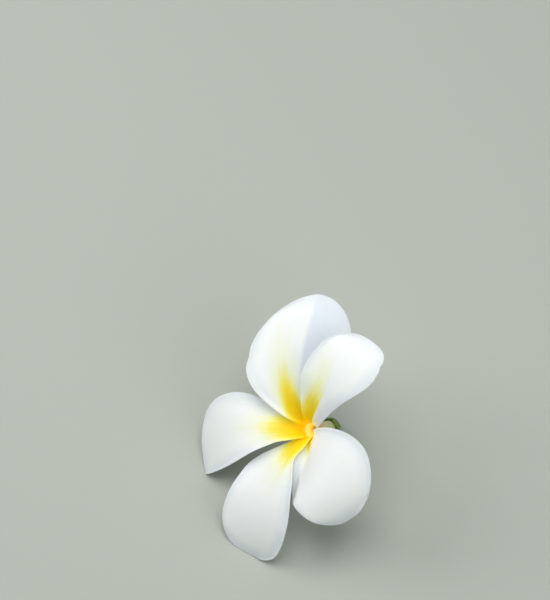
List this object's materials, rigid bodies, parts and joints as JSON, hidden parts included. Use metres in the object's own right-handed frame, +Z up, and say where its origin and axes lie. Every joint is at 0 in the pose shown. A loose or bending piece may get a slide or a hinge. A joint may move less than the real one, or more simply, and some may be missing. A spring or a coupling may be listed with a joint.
{
  "type": "plumeria flower",
  "caption": "Picked plumeria flower lying down: white overlapping petals with a yellow throat on a slim tube, green calyx and a short cut stalk.",
  "frame": {"origin": "on the surface that the flower lies on, under the centre of its bounding box", "axes": "+Z up from the surface, +Y towards the tallest petal's tip, so the flower is seen from -Y and above as in the picture, +X to the right"},
  "size_m": [0.0539, 0.07, 0.0495],
  "materials": {
    "petal_white": "soft satin petal, white with a golden yellow throat",
    "calyx_green": "satin green skin",
    "pistil_pale": "satin pale green"
  },
  "bodies": {
    "root": {"corolla": "petal_white", "calyx_and_stalk": "calyx_green", "pistil": "pistil_pale"}
  },
  "joints": []
}
